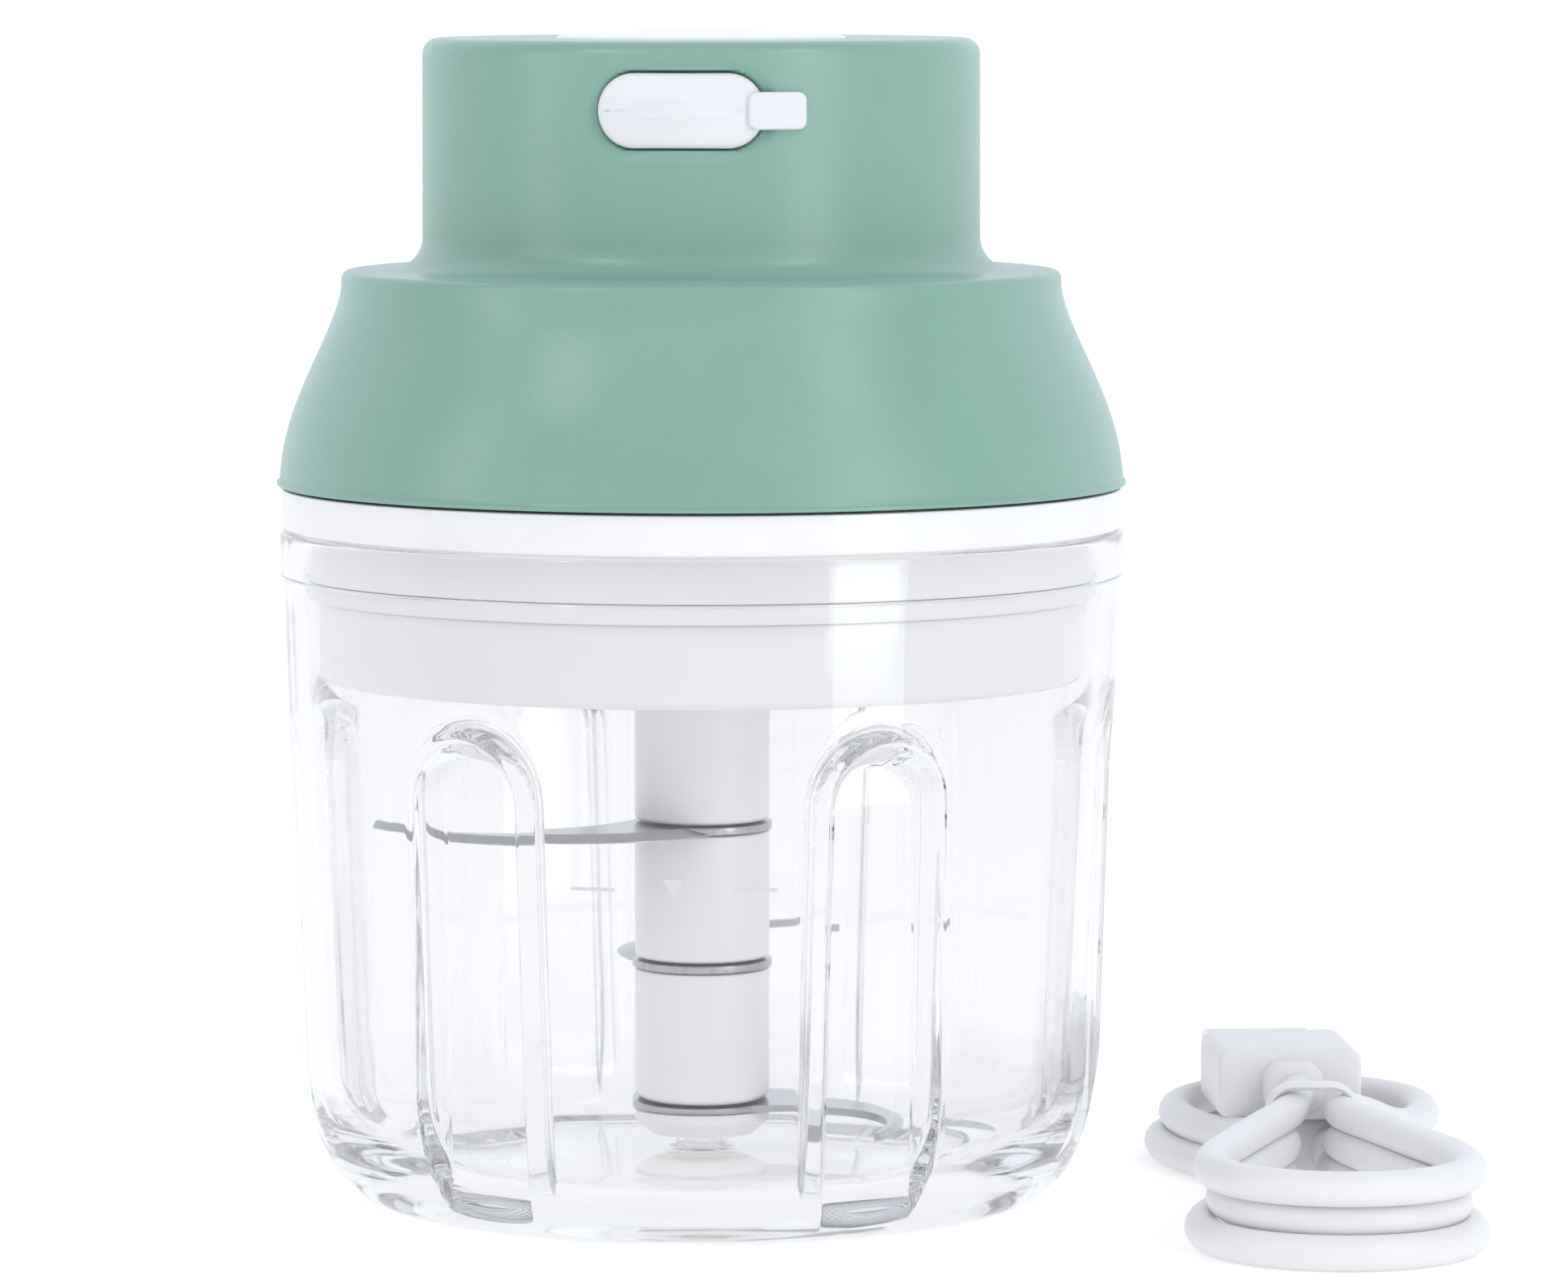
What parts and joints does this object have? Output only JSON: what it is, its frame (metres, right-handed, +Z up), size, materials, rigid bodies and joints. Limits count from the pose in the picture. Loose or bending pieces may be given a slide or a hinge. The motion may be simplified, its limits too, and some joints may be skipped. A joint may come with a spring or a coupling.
{
  "type": "mini food processor",
  "caption": "Cordless mini food processor: clear fluted bowl, lift-out stack of sickle blades, motor head with a push button and a covered charging port, and its charging lead.",
  "frame": {"origin": "centre of the bowl's foot, on the surface it stands on", "axes": "+Z up along the bowl, head and blade axis; -Y towards the charging port; +X to its right, where the charging lead lies"},
  "size_m": [0.1297, 0.0947, 0.1248],
  "materials": {
    "green_shell": "moulded ABS, fine satin texture",
    "white_plastic": "moulded, satin",
    "cup_plastic": "milky white moulded plastic",
    "clear_plastic": "clear moulded plastic",
    "silicone": "moulded silicone",
    "nylon": "natural nylon",
    "circuit_board": "solder mask",
    "black_plastic": "moulded",
    "ferrite": "sintered ferrite",
    "cell_wrap": "steel can in a blue sleeve",
    "blade_steel": "stainless steel, polished",
    "plated_steel": "nickel plated",
    "bronze": "sintered bronze",
    "copper": "copper windings and segments",
    "cord_jacket": "soft PVC jacket"
  },
  "bodies": {
    "bowl": {"bowl": "clear_plastic"},
    "head": {"head_shell": "green_shell", "control_board": "circuit_board", "switch_body": "black_plastic", "usb_socket": "plated_steel", "battery_cell": "cell_wrap", "battery_terminal": "plated_steel", "lid_cup": "cup_plastic", "lid_seal": "silicone", "output_bush": "bronze", "cup_screw_1": "plated_steel", "cup_screw_2": "plated_steel", "cup_screw_3": "plated_steel", "gearbox_housing": "nylon", "gearbox_cover": "nylon", "gearbox_screw_1": "plated_steel", "gearbox_screw_2": "plated_steel", "gearbox_screw_3": "plated_steel", "motor_can": "plated_steel", "magnet_1": "ferrite", "magnet_2": "ferrite", "motor_end_bell": "black_plastic", "motor_screw_1": "plated_steel", "motor_screw_2": "plated_steel"},
    "button": {"power_button": "white_plastic", "switch_plunger": "black_plastic"},
    "port_cover": {"port_cover": "silicone"},
    "output": {"planet_carrier": "blade_steel"},
    "planet_1": {"planet_gear_1": "nylon"},
    "planet_2": {"planet_gear_2": "nylon"},
    "planet_3": {"planet_gear_3": "nylon"},
    "rotor": {"armature": "copper", "commutator": "copper", "motor_shaft": "blade_steel", "sun_gear": "bronze"},
    "blade_stack": {"blade_core": "nylon", "sleeve_top": "white_plastic", "sleeve_upper": "white_plastic", "sleeve_lower": "white_plastic", "sleeve_foot": "white_plastic", "blade_top": "blade_steel", "blade_middle": "blade_steel", "blade_bottom": "blade_steel"},
    "charging_lead": {"lead_hank": "cord_jacket", "lead_tie": "silicone", "usb_a_body": "white_plastic", "usb_a_shell": "plated_steel", "usb_a_insert": "white_plastic", "micro_usb_body": "white_plastic", "micro_usb_shell": "plated_steel"}
  },
  "joints": [
    {"name": "head_lift", "type": "slide", "parent": "bowl", "child": "head", "axis": [0, 0, 1], "range_m": [0, 0.14]},
    {"name": "power_button", "type": "slide", "parent": "head", "child": "button", "axis": [0, 0, -1], "range_m": [0, 0.0012], "stiffness_N_per_m": 600, "springref_m": -0.0008},
    {"name": "port_cover_hinge", "type": "hinge", "parent": "head", "child": "port_cover", "pos_m": [-0.00905, -0.0289, 0.1172], "axis": [0, 0, -1], "range_deg": [0, 110]},
    {"name": "output_spin", "type": "hinge", "parent": "head", "child": "output", "pos_m": [0, 0, 0.066], "axis": [0, 0, 1], "continuous": true},
    {"name": "planet_1_spin", "type": "hinge", "parent": "output", "child": "planet_1", "pos_m": [0, 0.009, 0.0713], "axis": [0, 0, 1], "continuous": true},
    {"name": "planet_2_spin", "type": "hinge", "parent": "output", "child": "planet_2", "pos_m": [-0.00779, -0.0045, 0.0713], "axis": [0, 0, 1], "continuous": true},
    {"name": "planet_3_spin", "type": "hinge", "parent": "output", "child": "planet_3", "pos_m": [0.00779, -0.0045, 0.0713], "axis": [0, 0, 1], "continuous": true},
    {"name": "rotor_spin", "type": "hinge", "parent": "head", "child": "rotor", "pos_m": [0, 0, 0.09], "axis": [0, 0, 1], "continuous": true},
    {"name": "blade_release", "type": "slide", "parent": "output", "child": "blade_stack", "axis": [0, 0, 1], "range_m": [-0.07, 0]},
    {"name": "charging_lead_lift", "type": "slide", "parent": "bowl", "child": "charging_lead", "axis": [0, 0, 1], "range_m": [0, 0.14]}
  ],
  "couplings": [
    {"joint": "planet_1_spin", "follows": "output_spin", "ratio": -2.6667},
    {"joint": "planet_2_spin", "follows": "output_spin", "ratio": -2.6667},
    {"joint": "planet_3_spin", "follows": "output_spin", "ratio": -2.6667},
    {"joint": "rotor_spin", "follows": "output_spin", "ratio": 5},
    {"joint": "blade_release", "follows": "head_lift", "ratio": -0.5}
  ]
}
